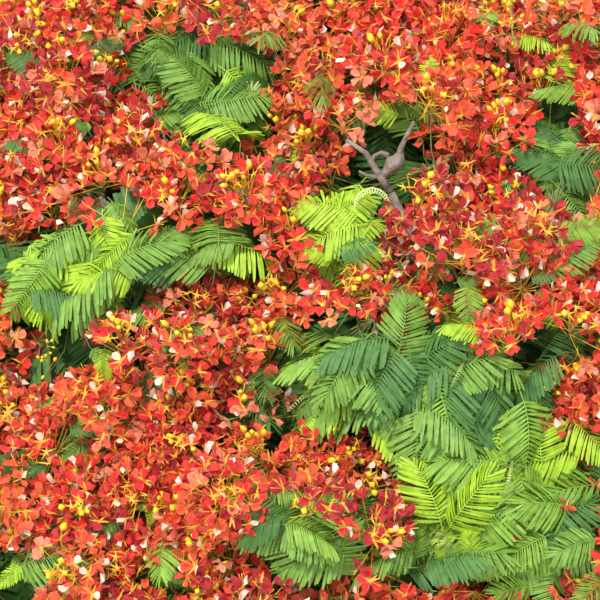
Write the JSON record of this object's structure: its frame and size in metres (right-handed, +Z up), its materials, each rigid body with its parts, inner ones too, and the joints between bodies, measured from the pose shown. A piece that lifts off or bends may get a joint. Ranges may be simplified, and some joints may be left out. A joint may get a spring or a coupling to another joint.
{
  "type": "flame tree",
  "caption": "Flame tree in full blossom: low forked trunk, spreading boughs and an umbrella crown of feathery leaves and scarlet flower heads, rooted at a flat cut at the ground.",
  "frame": {"origin": "middle of the flat cut under the trunk, at ground level", "axes": "+Z up; -Y is the side of the crown that the picture shows, +X to the right of it"},
  "size_m": [5.7189, 5.5034, 4.7404],
  "materials": {
    "bark": "grey-brown bark with a pinkish tinge, finely ridged and ringed, matt",
    "blossom": "thin scarlet petals with a soft satin sheen",
    "foliage": "feathery green leaves, satin, some yellow-green in the light"
  },
  "bodies": {
    "root": {"trunk": "bark", "main_bough_1": "bark", "rim_bough_1": "bark", "side_bough_1": "bark", "main_bough_2": "bark", "rim_bough_2": "bark", "side_bough_2": "bark", "main_bough_3": "bark", "rim_bough_3": "bark", "side_bough_3": "bark", "main_bough_4": "bark", "rim_bough_4": "bark", "side_bough_4": "bark", "main_bough_5": "bark", "rim_bough_5": "bark", "side_bough_5": "bark", "main_bough_6": "bark", "rim_bough_6": "bark", "side_bough_6": "bark", "top_mass_1": "foliage", "upper_mass_a_1": "blossom", "upper_mass_b_1": "foliage", "rim_mass_a_1": "blossom", "rim_mass_b_1": "foliage", "rim_mass_c_1": "foliage", "top_mass_2": "blossom", "upper_mass_a_2": "blossom", "upper_mass_b_2": "foliage", "rim_mass_a_2": "foliage", "rim_mass_b_2": "foliage", "rim_mass_c_2": "foliage", "top_mass_3": "blossom", "upper_mass_a_3": "foliage", "upper_mass_b_3": "blossom", "rim_mass_a_3": "foliage", "rim_mass_b_3": "foliage", "rim_mass_c_3": "blossom", "top_mass_4": "foliage", "upper_mass_a_4": "foliage", "upper_mass_b_4": "blossom", "rim_mass_a_4": "blossom", "rim_mass_b_4": "blossom", "rim_mass_c_4": "foliage", "top_mass_5": "blossom", "upper_mass_a_5": "blossom", "upper_mass_b_5": "blossom", "rim_mass_a_5": "blossom", "rim_mass_b_5": "foliage", "rim_mass_c_5": "blossom", "top_mass_6": "blossom", "upper_mass_a_6": "blossom", "upper_mass_b_6": "foliage", "rim_mass_a_6": "foliage", "rim_mass_b_6": "foliage", "rim_mass_c_6": "blossom"}
  },
  "joints": []
}
